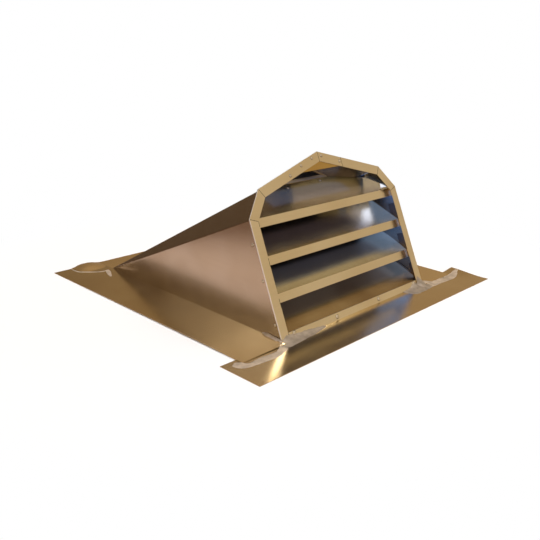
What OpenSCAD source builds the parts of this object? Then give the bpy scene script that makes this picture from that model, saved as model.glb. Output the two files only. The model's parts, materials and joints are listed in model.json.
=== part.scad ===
// Slant-back louvred roof dormer vent, folded, riveted and soldered from sheet metal.
// Millimetres, +Z up. The louvred face looks towards -Y and leans back, the hood runs
// down to a straight line at the rear, and the flashing lies flat on the roof. The
// origin is under the middle of the whole flashing, on the plane that it rests on.

/* [Sheet] */
// Thickness of the hood, frame, blade and flashing sheet
sheet_t = 0.8; // [0.6:0.1:1.2]
// Clearance where one sheet slips inside or beside another
slip = 0.2; // [0.1:0.05:0.4]

/* [Face] */
// Width across the foot of the face
face_w = 457; // [380:1:560]
// Lean of the face back from square to the roof
lean = 22.6; // [10:0.1:30]
// Height of the jambs, measured up the face
jamb_h = 231; // [190:1:290]
// How far each jamb leans in over its height
jamb_taper = 4; // [0:0.5:12]
// How far each shoulder runs in towards the middle
shoulder_run = 40.5; // [30:0.5:60]
// How far each shoulder rises above the jamb
shoulder_rise = 51; // [35:0.5:70]
// How far the peak rises above the shoulders
peak_rise = 53; // [40:0.5:80]
// Width of the strips that frame the face
strip_w = 20; // [15:0.5:26]
// How far the folded hem of the strips stands out past the hood
hem_w = 3; // [2:0.5:5]
// Height of the sill strip
sill_h = 14.5; // [10:0.5:20]
// How far the sill strip stops short of the right jamb's strip
sill_gap = 5; // [0:0.5:8]
// How far below the strips' peak the gusset reaches
gusset_drop = 37.5; // [30:0.5:45]
// Distance from the middle to the seam in the right rafter
seam_x = 66; // [50:1:90]

/* [Louvres] */
// Distance that the blade lips are set back from the face
lip_recess = 11; // [6:0.5:16]
// Height of a blade's front lip
lip_h = 17.5; // [12:0.5:24]
// Slope of the blades, measured from square to the face
blade_angle = 45; // [35:1:50]
// How far a blade's rear edge rises past the lip above it
blade_overlap = 6.5; // [2:0.5:10]
// Height of the flange turned up along a blade's rear edge
rear_lip_h = 6; // [4:0.5:10]
// Height of the hem folded back behind a lip's lower edge
lip_hem_h = 5; // [3:0.5:8]
// Width of the tabs that fix a blade to the walls
tab_w = 18; // [12:1:24]
// Height of those tabs above the blade's lip
tab_h = 38; // [30:1:42]
// Thickness of the insect screen
screen_t = 0.8; // [0.6:0.1:1.5]

/* [Hood] */
// Distance from the foot of the face to the hood's rear line
hood_depth = 594; // [480:1:720]
// Width of the hood along its rear line
rear_w = 429; // [340:1:520]

/* [Flashing] */
// Width of the side flanges at the face
side_flange = 104.5; // [80:0.5:130]
// Length of the flashing behind the hood
rear_flange_l = 66.5; // [50:0.5:90]
// Length of the apron in front of the face
apron_l = 86.5; // [70:0.5:110]
// How far the apron reaches out past each side flange
apron_wing = 35; // [20:0.5:50]
// How far the apron runs back past the foot of the face
apron_tuck = 10; // [8:0.5:16]
// How far the side flanges lap forward over the apron
flange_lap = 18; // [12:0.5:24]
// How far the rear plate laps out over each side flange, along its rear edge
rear_lap = 73; // [50:1:95]
// How much shorter that lap is at its front corner
rear_lap_cut = 7; // [0:1:15]
// Distance from the hood's rear line to that front corner
rear_lap_set = 16; // [8:1:24]

/* [Hidden] */

// Places along Y, from the whole length of the flashing
total_l = apron_l + hood_depth + rear_flange_l;
face_y = apron_l - total_l / 2;
rear_y = face_y + hood_depth;
front_edge_y = -total_l / 2;
rear_edge_y = total_l / 2;
foot_z = sheet_t;
rear_half = rear_w / 2;
flange_half = face_w / 2 + side_flange;
apron_half = flange_half + apron_wing;

// Right half of the face's outline, from its foot to the peak, as [across, up the face]
jamb_top = [face_w / 2 - jamb_taper, jamb_h];
shoulder_top = jamb_top + [-shoulder_run, shoulder_rise];
peak = [0, shoulder_top[1] + peak_rise];
outline = [[face_w / 2, 0], jamb_top, shoulder_top, peak];

// Louvre layout: equal steps from the sill's top to just under the jambs' tops
blade_count = 3;
lip_top_gap = 1;
blade_pitch = (jamb_h - lip_top_gap - sill_h) / blade_count;
blade_rise = blade_pitch - lip_h + blade_overlap;
blade_run = blade_rise / tan(blade_angle);
sill_blade_d = 2 * sheet_t;
sill_blade_run = lip_recess + blade_run - sill_blade_d;
screen_d = lip_recess + blade_run + sheet_t;
hem_d = 3 * sheet_t;
reach = 2 * (face_w + hood_depth);

// A place on the face: across, behind the face plane, and up the face
face_normal = [0, cos(lean), -sin(lean)];
function face_point(x, d, h) =
    [x, face_y, foot_z] + d * face_normal + h * [0, sin(lean), cos(lean)];

// Where two lines in a plane cross, each given as a point and a direction
function cross2(u, v) = u[0] * v[1] - u[1] * v[0];
function meet(p, u, q, v) = p + u * cross2(q - p, v) / cross2(u, v);

// The outline drawn in by d, as its four corners from foot to peak
function inward(u) = [-u[1], u[0]] / norm(u);
function edge(i) = outline[i + 1] - outline[i];
function edge_at(i, d) = outline[i] + d * inward(edge(i));
function outline_in(d) = [
    meet(edge_at(0, d), edge(0), [0, 0], [1, 0]),
    meet(edge_at(0, d), edge(0), edge_at(1, d), edge(1)),
    meet(edge_at(1, d), edge(1), edge_at(2, d), edge(2)),
    meet(edge_at(2, d), edge(2), [0, 0], [0, 1])
];

function on_jamb(h, d) = meet(edge_at(0, d), edge(0), [0, h], [1, 0])[0];
function on_rafter(h, d) = meet(edge_at(2, d), edge(2), [0, h], [1, 0])[0];

// Outer corners of the left half of the hood, where its sheets meet the face strips
hood_in = outline_in(hem_w);
toe_h = sheet_t * tan(lean);
toe_x = on_jamb(toe_h, hem_w);
toe = face_point(-toe_x, sheet_t, toe_h);
eave = face_point(-hood_in[1][0], sheet_t, hood_in[1][1]);
shoulder = face_point(-hood_in[2][0], sheet_t, hood_in[2][1]);
ridge = face_point(0, sheet_t, hood_in[3][1]);
rear_corner = [-rear_half, rear_y, foot_z];
rear_middle = [0, rear_y, foot_z];

// Outward directions of the left half's sheets
up = [0, 0, 1];
function facing(p, q, r) = cross(q - p, r - p) / norm(cross(q - p, r - p));
wall_n = facing(toe, eave, rear_corner);
chamfer_n = facing(eave, shoulder, rear_corner);
back_n = facing(shoulder, rear_middle, rear_corner);
slope_n = facing(shoulder, ridge, rear_middle);
slope_n_right = [-slope_n[0], slope_n[1], slope_n[2]];

// Step from a sheet's outer edge to its inner one, for each unit of thickness: at a
// fold it is shared with the next sheet, and at a cut it stays in the cut's plane
function fold(n, m) = (n + m) / (1 + n * m);
function cut(n, c) = (n - (n * c) * c) / (1 - pow(n * c, 2));
function inner_corner(p, n, u, a, v, b) =
    p - sheet_t * a + u * (cross(sheet_t * (a - b), v) * n) / (cross(u, v) * n);

// One flat sheet from its outer corners, anticlockwise seen from outside, and the step
// of each edge that leaves a corner
module panel(corners, n, steps) {
    k = len(corners);
    inner = [for (i = [0 : k - 1])
        let (before = (i + k - 1) % k, after = (i + 1) % k)
        inner_corner(corners[i], n, corners[i] - corners[before], steps[before],
                     corners[after] - corners[i], steps[i])];
    sides = [for (i = [0 : k - 1]) let (j = (i + 1) % k) [i, j, k + j, k + i]];
    polyhedron(
        points = concat(corners, inner),
        faces = concat([[for (i = [k - 1 : -1 : 0]) i]], [[for (i = [0 : k - 1]) k + i]], sides));
}

module on_right() mirror([1, 0, 0]) children();

// Everything on the outer side of a plane through p that faces along n
module beyond(p, n)
    translate(p) rotate([0, acos(n[2]), atan2(n[1], n[0])])
        translate([-reach, -reach, 0]) cube([2 * reach, 2 * reach, reach]);

// Cuts what lies outside the hood's inner faces, drawn in by gap
module inside_hood(gap) {
    difference() {
        children();
        for (side = [0, 1]) mirror([side, 0, 0]) {
            beyond(toe - (sheet_t + gap) * wall_n, wall_n);
            beyond(eave - (sheet_t + gap) * chamfer_n, chamfer_n);
            beyond(ridge - (sheet_t + gap) * slope_n, slope_n);
        }
    }
}

module on_face() translate([0, face_y, foot_z]) rotate([-lean, 0, 0]) children();

// A plate between two depths behind the face, from an outline drawn on it
module face_plate(d0, d1)
    translate([0, d1, 0]) rotate([90, 0, 0]) linear_extrude(d1 - d0) children();

// A section drawn as [behind the face, up the face], drawn out across the face
module across(w) rotate([90, 0, 90]) linear_extrude(w, center = true) children();

module above_apron() {
    difference() {
        children();
        translate([-reach / 2, -reach / 2, foot_z - reach]) cube([reach, reach, reach]);
    }
}

// A band along one side of the face's outline, between two distances in from it, that
// runs on past its lower end by foot, a share of that side
module band(i, d0, d1, foot = 0) {
    outer = outline_in(d0);
    inner = outline_in(d1);
    down = foot * edge(i);
    polygon([outer[i] - down, outer[i + 1], inner[i + 1], inner[i] - down]);
}

// A face strip with its outer edge hemmed. The hem stands on the outside of the hood's
// sheet, whose left twin passes through p and faces along n
module strip(i, p, n, foot = 0) {
    on_face() face_plate(0, sheet_t) band(i, 0, strip_w, foot);
    difference() {
        on_face() face_plate(0, hem_d) band(i, 0, hem_w + hem_d, foot);
        on_right() beyond(p, -n);
    }
}

module wall() {
    color("rosybrown")
        panel([toe, eave, rear_corner], wall_n,
              [cut(wall_n, face_normal), fold(wall_n, chamfer_n), cut(wall_n, up)]);
}

module chamfer() {
    color("saddlebrown")
        panel([eave, shoulder, rear_corner], chamfer_n,
              [cut(chamfer_n, face_normal), fold(chamfer_n, back_n), fold(chamfer_n, wall_n)]);
}

module back_panel() {
    color("peru")
        panel([shoulder, rear_middle, rear_corner], back_n,
              [fold(back_n, slope_n), fold(back_n, up), fold(back_n, chamfer_n)]);
}

module roof_slope() {
    color("tan")
        panel([shoulder, ridge, rear_middle], slope_n,
              [cut(slope_n, face_normal), fold(slope_n, slope_n_right), fold(slope_n, back_n)]);
}

// A side flange lies flat, steps up over the apron's edge and laps forward on it
module side_flange_plate() {
    step_y = face_y + apron_tuck + slip;
    lap_y = face_y + apron_tuck - flange_lap;
    tongue_y = rear_y - 3 * sheet_t;
    inner_rear = rear_half + sheet_t + 2 * slip;
    wall_foot = sheet_t / sqrt(1 - pow(wall_n[2], 2));
    color("goldenrod") {
        linear_extrude(sheet_t)
            polygon([[-flange_half, step_y], [-toe_x + wall_foot, step_y],
                     [-rear_half + wall_foot, tongue_y], [-inner_rear, tongue_y],
                     [-inner_rear, rear_edge_y], [-flange_half, rear_edge_y]]);
        translate([-flange_half, step_y, 0])
            cube([flange_half - toe_x - slip, sheet_t, 2 * sheet_t]);
        translate([-flange_half, lap_y, sheet_t])
            cube([flange_half - toe_x - hem_w - slip, face_y - lap_y, sheet_t]);
        translate([-flange_half, face_y - slip, sheet_t])
            cube([flange_half - toe_x - hem_w - slip, step_y - face_y + sheet_t, sheet_t]);
    }
}

// The rear plate lies flat behind the hood and laps out over both side flanges
module rear_flange() {
    foot_back = sheet_t * fold(back_n, up)[1];
    step_x = rear_half + sheet_t;
    lap_x = step_x + rear_lap;
    color("darkgoldenrod") {
        across(2 * step_x)
            polygon([[rear_y - foot_back, 0], [rear_edge_y, 0],
                     [rear_edge_y, sheet_t], [rear_y, sheet_t]]);
        for (side = [0, 1]) mirror([side, 0, 0]) {
            translate([step_x - sheet_t, rear_y + sheet_t, 0])
                cube([sheet_t, rear_edge_y - rear_y - sheet_t, 2 * sheet_t]);
            translate([0, 0, sheet_t]) linear_extrude(sheet_t)
                polygon([[step_x - sheet_t, rear_y + sheet_t],
                         [lap_x - rear_lap_cut, rear_y + rear_lap_set],
                         [lap_x, rear_edge_y], [step_x - sheet_t, rear_edge_y]]);
        }
    }
}

// The apron is flat, with an upstand between the jambs that backs the sill
module apron() {
    tuck_y = face_y + apron_tuck;
    stand_y = face_y + 3 * sheet_t;
    inner_x = toe_x - sheet_t - 2 * slip;
    stand_x = on_jamb(0, strip_w) - 2 * sill_gap;
    color("darkkhaki") {
        linear_extrude(sheet_t)
            polygon([[-apron_half, front_edge_y], [apron_half, front_edge_y],
                     [apron_half, tuck_y], [inner_x, tuck_y], [inner_x, stand_y],
                     [-inner_x, stand_y], [-inner_x, tuck_y], [-apron_half, tuck_y]]);
        on_face() face_plate(sheet_t, 2 * sheet_t)
            translate([-stand_x, 0]) square([2 * stand_x, sill_h - slip]);
    }
}

module jamb() color("tan") above_apron() strip(0, toe, wall_n, foot = 0.01);

module shoulder_strip() color("tan") strip(1, eave, chamfer_n);

module rafter() color("burlywood") strip(2, ridge, slope_n);

// Splits the right rafter at the seam: the outer part, or the part up to the peak
module rafter_part(outer) {
    intersection() {
        rafter();
        translate([outer ? seam_x : -slip, -reach / 2, 0])
            cube([outer ? reach : seam_x + slip, reach, reach]);
    }
}

module right_rafter() rafter_part(true);

module peak_strip() rafter_part(false);

module peak_gusset() {
    gap = hem_w + sheet_t + 2 * slip;
    foot_h = peak[1] - gusset_drop;
    top = outline_in(gap)[3];
    side_x = on_rafter(foot_h, gap);
    color("goldenrod") on_face() face_plate(sheet_t, 2 * sheet_t)
        polygon([[-side_x, foot_h], [side_x, foot_h], top]);
}

module sill() {
    low = on_jamb(-1, strip_w);
    high = on_jamb(sill_h, strip_w);
    color("burlywood") above_apron() on_face() face_plate(0, sheet_t)
        polygon([[-low, -1], [low - sill_gap, -1], [high - sill_gap, sill_h], [-high, sill_h]]);
}

// Section of a blade: a front lip of height lip at depth d, the slope that runs back
// over run, and a flange turned up along the rear edge
module blade_section(d, top, lip, run, hem) {
    rise = run * tan(blade_angle);
    under = sheet_t * tan(blade_angle) - sheet_t / cos(blade_angle);
    polygon([[d, top - lip], [d, top], [d + run, top + rise],
             [d + run, top + rise + rear_lip_h], [d + run + sheet_t, top + rise + rear_lip_h],
             [d + run + sheet_t, top + rise + under], [d + sheet_t, top + under],
             [d + sheet_t, top - lip + hem], [d + 2 * sheet_t, top - lip + hem],
             [d + 2 * sheet_t, top - lip]]);
}

// A tab that lies flat against each wall, from an outline seen from the side
module wall_tabs(points) {
    for (side = [0, 1]) mirror([side, 0, 0])
        difference() {
            on_face() translate([-face_w / 4, 0, 0]) across(face_w / 2) polygon(points);
            beyond(toe - (sheet_t + slip) * wall_n, wall_n);
            beyond(toe - (2 * sheet_t + slip) * wall_n, -wall_n);
            beyond(eave - (sheet_t + slip) * chamfer_n, chamfer_n);
        }
}

module blade(top, tab) {
    d = lip_recess;
    color("darkkhaki") {
        inside_hood(slip) on_face() across(face_w)
            blade_section(d, top, lip_h, blade_run, lip_hem_h);
        wall_tabs(tab);
    }
}

// Tabs turned up from a blade, and tabs turned down under the top one
function tab_up(d, top) = [
    [d, top - sheet_t], [d + tab_w, top - sheet_t + tab_w * tan(blade_angle)],
    [d + tab_w, top + tab_h], [d, top + tab_h]
];
function tab_down(d, top) = [
    [d, top - lip_h], [d + tab_w, top - lip_h],
    [d + tab_w, top - lip_top_gap - sheet_t], [d, top - lip_top_gap - sheet_t]
];

function blade_top(k) = jamb_h - lip_top_gap - (k - 1) * blade_pitch;

module louvre(k)
    blade(blade_top(k), k == 1 ? tab_down(lip_recess, blade_top(k))
                               : tab_up(lip_recess, blade_top(k)));

module sill_blade() {
    color("darkkhaki") {
        inside_hood(slip) on_face() across(face_w)
            blade_section(sill_blade_d, sill_h, sill_h - 2, sill_blade_run, slip);
        wall_tabs(tab_up(sill_blade_d, sill_h));
    }
}

// The screen is carried on the rear flanges of the blades
module insect_screen() {
    low = sill_h + sill_blade_run * tan(blade_angle);
    color("dimgray") inside_hood(slip) on_face()
        face_plate(screen_d, screen_d + screen_t)
            translate([-face_w / 2, low]) square([face_w, peak[1]]);
}

wall();  // left_wall
on_right() wall();  // right_wall
chamfer();  // left_chamfer
on_right() chamfer();  // right_chamfer
back_panel();  // left_back_panel
on_right() back_panel();  // right_back_panel
roof_slope();  // left_roof_slope
on_right() roof_slope();  // right_roof_slope
side_flange_plate();  // left_flange
on_right() side_flange_plate();  // right_flange
rear_flange();
apron();
on_right() jamb();  // left_jamb
jamb();  // right_jamb
on_right() shoulder_strip();  // left_shoulder
shoulder_strip();  // right_shoulder
on_right() rafter();  // left_rafter
right_rafter();
peak_strip();
peak_gusset();
sill();
louvre(1);  // louvre_1
louvre(2);  // louvre_2
louvre(3);  // louvre_3
sill_blade();
insect_screen();
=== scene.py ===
import json
import math

import bmesh
import bpy
from bpy.props import FloatProperty, FloatVectorProperty, PointerProperty
from mathutils import Matrix, Vector, noise
from mathutils.bvhtree import BVHTree

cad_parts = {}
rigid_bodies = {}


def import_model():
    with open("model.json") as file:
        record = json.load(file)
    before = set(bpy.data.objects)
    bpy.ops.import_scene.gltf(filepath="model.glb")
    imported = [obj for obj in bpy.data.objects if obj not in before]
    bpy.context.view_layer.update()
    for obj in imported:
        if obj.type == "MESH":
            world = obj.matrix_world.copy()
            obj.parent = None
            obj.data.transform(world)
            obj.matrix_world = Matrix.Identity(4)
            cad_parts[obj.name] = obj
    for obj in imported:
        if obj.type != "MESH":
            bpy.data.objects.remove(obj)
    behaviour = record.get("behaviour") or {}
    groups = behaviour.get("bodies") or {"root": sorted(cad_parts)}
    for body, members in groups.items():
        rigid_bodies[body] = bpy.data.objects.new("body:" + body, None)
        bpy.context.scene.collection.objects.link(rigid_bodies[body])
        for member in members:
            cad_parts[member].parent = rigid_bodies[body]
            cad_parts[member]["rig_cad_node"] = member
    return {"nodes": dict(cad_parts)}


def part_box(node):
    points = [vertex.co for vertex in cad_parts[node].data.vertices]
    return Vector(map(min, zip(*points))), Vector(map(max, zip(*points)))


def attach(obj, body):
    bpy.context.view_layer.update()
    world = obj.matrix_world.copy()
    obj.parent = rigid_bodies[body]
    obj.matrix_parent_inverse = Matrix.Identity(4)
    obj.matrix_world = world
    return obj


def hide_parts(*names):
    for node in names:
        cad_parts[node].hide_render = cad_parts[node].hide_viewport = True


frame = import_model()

bl_info = {
    "name": "Louvred dormer vent",
    "version": (1, 0, 0),
    "blender": (4, 5, 0),
    "location": "View3D > Sidebar > Dormer vent",
    "description": "Builds the folded sheet-metal dormer vent around its fixed frame",
    "category": "Object",
}

MM = 0.001
SHEET_TOP = 0.8 * MM            # top of a sheet that lies on the ground
SAME_PLACE = 0.01 * MM          # corners closer than this are one corner
RIGHT, REAR, SKY = Vector((1, 0, 0)), Vector((0, 1, 0)), Vector((0, 0, 1))
# up the leaning face and straight back from it, then up a blade's slope and out of its top
FACE_UP, FACE_BACK = Vector((0, 0.384, 0.923)), Vector((0, 0.923, -0.384))
SLOPE_UP, SLOPE_OUT = Vector((0, 0.925, 0.381)), Vector((0, -0.381, 0.925))
GLEAM = "lit_by_window_gleam"   # collection of the strips that the small window lights


# ---------------------------------------------------------------- settings

def linear(hex_colour):
    """An sRGB hex colour as linear red, green and blue."""
    parts = [int(hex_colour[i:i + 2], 16) / 255 for i in (0, 2, 4)]
    return tuple(c / 12.92 if c <= 0.04045 else ((c + 0.055) / 1.055) ** 2.4 for c in parts)


def length(name, description, millimetres, low, high):
    """A size that a user may change, given in millimetres."""
    return FloatProperty(name=name, description=description, default=millimetres * MM,
                         min=low * MM, max=high * MM, precision=5, subtype="DISTANCE",
                         unit="LENGTH")


def colour(name, description, hex_colour):
    """A colour that a user may change, given as sRGB hex."""
    return FloatVectorProperty(name=name, description=description, default=linear(hex_colour),
                               size=3, min=0.0, max=1.0, subtype="COLOR")


class VentSizes(bpy.types.PropertyGroup):
    sheet: length("Sheet thickness", "Thickness of the folded sheet", 0.8, 0.4, 1.6)
    fold: length("Fold radius", "Outside radius of a brake fold", 1.8, 0.3, 4)
    edge: length("Edge break", "Rounding of a sheared edge", 0.22, 0.05, 0.5)
    hem: length("Hem radius", "Outside radius of the folded hem round the face", 1.1, 0.3, 1.4)
    mitre: length("Mitre gap", "Opening left at a cut joint between two strips", 0.8, 0.1, 0.8)
    # the line in a joint is dark with dirt and painted shade
    joint: length("Joint line", "Width of the line of dirt in a joint between strips", 1.2, 0.3, 2)
    foot_bend: length("Foot bend", "Radius of the bend from a wall to its flange", 1.5, 0.5, 6)
    flange_rise: length("Flange rise", "How far a side flange rises beside its wall", 1.2, 0, 3)
    flare: length("Wall flare", "How far the foot of a wall spreads outwards", 2.5, 0, 4)
    front_rise: length("Front rise", "How far a flange bows up behind the apron", 2.2, 0, 4)
    buckle: length("Buckle", "How far a wide panel bows out of flat", 0.5, 0, 2)
    rivet: length("Rivet head", "Head diameter of the small rivets", 5.6, 3, 10)
    sill_rivet: length("Sill rivet head", "Head diameter of the sill strip's rivets", 7.6, 3, 12)
    corner_lift: length("Corner lift", "How far the apron's right rear corner bends up", 6, 0, 12)
    plate_dome: length("Plate dome", "How far the rear plate's left end is domed up", 5.5, 0, 10)
    solder: length("Solder thickness", "Height of a wiped solder seam", 0.6, 0.3, 2)
    screen_pitch: length("Screen pitch", "Distance between the screen's wires", 3.2, 1, 12)
    screen_wire: length("Screen wire", "Thickness of a screen wire", 0.6, 0.2, 2)


class VentColours(bpy.types.PropertyGroup):
    hood: colour("Hood sheet", "Metal of the hood", "d4c0a6")
    # the gusset's darker, deeper tone is painted shade, standing in for the recessed plate's
    # darker reflection
    strip: colour("Face strips", "Metal of the strips and the blades' lips", "d8c39c")
    # the hem's pale colour is a painted highlight along the outer fold, over bare metal worn
    # bright
    hem: colour("Hem", "Bare metal worn bright along the outer fold", "f0e8e2")
    gusset: colour("Gusset", "Metal of the plate behind the peak", "bb9654")
    flashing: colour("Flashing", "Metal of the flanges and the rear plate", "d4bd92")
    apron: colour("Apron", "Metal of the front apron", "cab692")
    plate: colour("Rear plate", "Metal of the rear plate", "ecd3a4")
    inside: colour("Inside", "Metal inside the hood", "cfcdca")
    blade: colour("Blades", "Metal of the louvre blades", "cfc29e")
    stain: colour("Sill blade", "Weathered metal of the lowest blade", "b39a72")
    # painted shade: the blades' undersides get this darker colour because shade falls under them
    back: colour("Backs", "Oxidised metal of the blades' undersides", "8e888c")
    # dirt and painted shade: the dark colour stands for the shade in the mitres, the joints and
    # round the rivets as well as the dirt there
    grime: colour("Grime", "Dark flux and dirt held in the mitres and round the rivets", "2c2119")
    solder: colour("Solder", "Wiped solder on the seams", "d2c1ae")
    rivet: colour("Rivets", "Tinned rivet heads", "e4d6be")
    screen: colour("Screen", "Dull wire of the insect screen", "3a3a3c")
    floor: colour("Floor", "Studio floor", "f8f9fd")


# ---------------------------------------------------------------- mesh helpers

def cad_mesh(name):
    """A welded copy of one of the frame's solids, with its flat faces whole again."""
    bm = bmesh.new()
    bm.from_mesh(frame["nodes"][name].data)
    bmesh.ops.remove_doubles(bm, verts=bm.verts[:], dist=SAME_PLACE)
    bmesh.ops.dissolve_limit(bm, angle_limit=math.radians(0.3), verts=bm.verts[:],
                             edges=bm.edges[:])
    return bm


def corner(name, *direction):
    """The frame solid's corner that lies furthest along a direction."""
    way = Vector(direction)
    corners = (v.co.copy() for v in frame["nodes"][name].data.vertices)
    return max(corners, key=lambda p: p.dot(way))


def round_edges(bm, edges, radius, segments):
    """Bevels the edges and gives back the new faces."""
    edges = [e for e in edges if e.is_valid]
    if not edges:
        return []
    return bmesh.ops.bevel(bm, geom=edges, offset=radius, offset_type="OFFSET",
                           segments=segments, profile=0.5, affect="EDGES", clamp_overlap=True,
                           material=-1)["faces"]


def slice_mesh(bm, way, low, high, count, origin=Vector((0, 0, 0))):
    """Cuts the mesh across into count equal parts between two distances along a way, so that it
    can be bent."""
    for i in range(1, count):
        place = low + (high - low) * i / count
        bmesh.ops.bisect_plane(bm, geom=bm.verts[:] + bm.edges[:] + bm.faces[:], dist=1e-7,
                               plane_co=origin + way * place, plane_no=way)


def smooth(x, low, high):
    """0 below low, 1 above high, and an S curve between them."""
    t = min(1.0, max(0.0, (x - low) / (high - low)))
    return t * t * (3 - 2 * t)


def add_piece(name, bm, materials, replaces=(), sharp=35, smooth_faces=True):
    """Makes the finished piece from its mesh: shaded, painted, riding on the frame."""
    bm.normal_update()
    for f in bm.faces:
        f.smooth = smooth_faces
    for e in bm.edges:
        e.smooth = len(e.link_faces) == 2 and abs(e.calc_face_angle(0)) < math.radians(sharp)
    mesh = bpy.data.meshes.new(name)
    bm.to_mesh(mesh)
    bm.free()
    for stale in [o for o in bpy.data.objects if o.name == name and "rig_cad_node" not in o]:
        bpy.data.objects.remove(stale)
    piece = bpy.data.objects.new(name, mesh)
    bpy.context.scene.collection.objects.link(piece)
    for metal in materials:
        mesh.materials.append(finish(metal))
    if smooth_faces:
        flat = piece.modifiers.new("flat_faces", "WEIGHTED_NORMAL")
        flat.keep_sharp = True
    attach(piece, "root")
    if replaces:
        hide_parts(*replaces)
    return piece


def mirror_across(bm):
    """Turns the mesh over to the other side of the vent."""
    bmesh.ops.scale(bm, verts=bm.verts[:], vec=(-1, 1, 1))
    bmesh.ops.reverse_faces(bm, faces=bm.faces[:])


def face_out(bm, way):
    """Turns the faces of an open sheet to look along a way."""
    bmesh.ops.recalc_face_normals(bm, faces=bm.faces[:])
    if sum(f.normal.dot(way) * f.calc_area() for f in bm.faces) < 0:
        bmesh.ops.reverse_faces(bm, faces=bm.faces[:])


def keep_above_ground(bm):
    """Brings up what a sheet's thickness pushes below the ground."""
    for v in bm.verts:
        v.co.z = max(v.co.z, 0)


def surface(*names):
    """A search tree over finished pieces, on which rivets and solder are set."""
    bm = bmesh.new()
    for name in names:
        bm.from_mesh(bpy.data.objects[name].data)
    tree = BVHTree.FromBMesh(bm)
    bm.free()
    return tree


def drop(tree, x, y):
    """The height of the surface under a place seen from above."""
    spot = tree.ray_cast(Vector((x, y, 0.5)), -SKY)[0]
    return spot.z if spot else SHEET_TOP


def on_face(x, up, depth=0.0):
    """A place on the leaning face: millimetres across, up along the face, and behind it."""
    foot, head = corner("sill", 0, -1, -1), corner("sill", 0, -0.2, 1)
    along = Vector((0, head.y - foot.y, head.z - foot.z)).normalized()
    behind = Vector((0, along.z, -along.y))
    return Vector((x * MM, foot.y, foot.z)) + along * (up * MM) + behind * (depth * MM)


def face_front():
    """The way that the leaning face looks."""
    return (on_face(0, 0, -1) - on_face(0, 0)).normalized()


# ---------------------------------------------------------------- materials

def add(tree, kind, links=None, **settings):
    """Adds a node: settings named in_... go to its sockets, the others to the node itself, and
    links join its sockets to others' outputs."""
    made = tree.nodes.new(kind)
    for key, value in settings.items():
        if key.startswith("in_"):
            socket = key[3:].replace("_", " ")
            made.inputs[int(socket) if socket.isdigit() else socket].default_value = value
        else:
            setattr(made, key, value)
    for socket, source in (links or {}).items():
        tree.links.new(source, made.inputs[socket])
    return made


def opaque(rgb, factor=1.0):
    """A colour made lighter or darker, with the alpha that a socket wants."""
    return tuple(min(1.0, c * factor) for c in rgb) + (1.0,)


def material(name):
    """An empty node material, its tree and the place on the piece that its patterns read."""
    made = bpy.data.materials.get(name) or bpy.data.materials.new(name)
    made.use_nodes = True
    tree = made.node_tree
    tree.nodes.clear()
    return made, tree, add(tree, "ShaderNodeTexCoord").outputs["Object"]


def sheet_metal(name, rgb, rough, along, smudge=0.04, tint=(0.94, 0.91, 0.86), wave=1.0):
    """Cold-rolled sheet with a thin bronze-toned finish: blurred mirror reflections, faint lines
    along the way it was rolled, and hand marks that dull it in soft patches."""
    made, tree, place = material(name)
    # rolled lines, drawn 3 mm apart and 170 mm long so that they show
    stretch = [6.0 if axis == along else 330.0 for axis in range(3)]
    lines = add(tree, "ShaderNodeMapping", {"Vector": place}, in_Scale=stretch)
    rolled = add(tree, "ShaderNodeTexNoise", {"Vector": lines.outputs[0]}, in_Scale=1.0,
                 in_Detail=1.0)
    # hand marks 60 mm across, patches of tone 140 mm across, and buckles 125 mm across
    marks = add(tree, "ShaderNodeTexNoise", {"Vector": place}, in_Scale=16.0, in_Detail=3.0,
                in_Roughness=0.55)
    patches = add(tree, "ShaderNodeTexNoise", {"Vector": place}, in_Scale=7.0, in_Detail=2.0)
    buckles = add(tree, "ShaderNodeTexNoise", {"Vector": place}, in_Scale=8.0, in_Detail=0.0)
    roughness = add(tree, "ShaderNodeMapRange", {"Value": marks.outputs["Fac"]}, in_1=0.36,
                    in_2=0.7, in_3=rough, in_4=rough + smudge, interpolation_type="SMOOTHSTEP")
    shade = add(tree, "ShaderNodeMapRange", {"Value": patches.outputs["Fac"]}, in_1=0.35,
                in_2=0.7, interpolation_type="SMOOTHSTEP")
    worn = [c * t for c, t in zip(rgb, tint)]
    tone = add(tree, "ShaderNodeMix", {0: shade.outputs[0]}, data_type="RGBA",
               in_6=opaque(rgb), in_7=opaque(worn))
    fine = add(tree, "ShaderNodeMapRange", {"Value": rolled.outputs["Fac"]}, in_1=0.3, in_2=0.7,
               in_3=0.97, in_4=1.0)
    lined = add(tree, "ShaderNodeVectorMath", {0: tone.outputs[2], 1: fine.outputs[0]},
                operation="MULTIPLY")
    dents = add(tree, "ShaderNodeBump", {"Height": buckles.outputs["Fac"]},
                in_Strength=0.5 * wave, in_Distance=0.8 * MM)
    shader = add(tree, "ShaderNodeBsdfPrincipled", {"Base Color": lined.outputs[0],
                 "Roughness": roughness.outputs[0], "Normal": dents.outputs[0]}, in_Metallic=1.0)
    add(tree, "ShaderNodeOutputMaterial", {"Surface": shader.outputs[0]})
    return made


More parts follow.
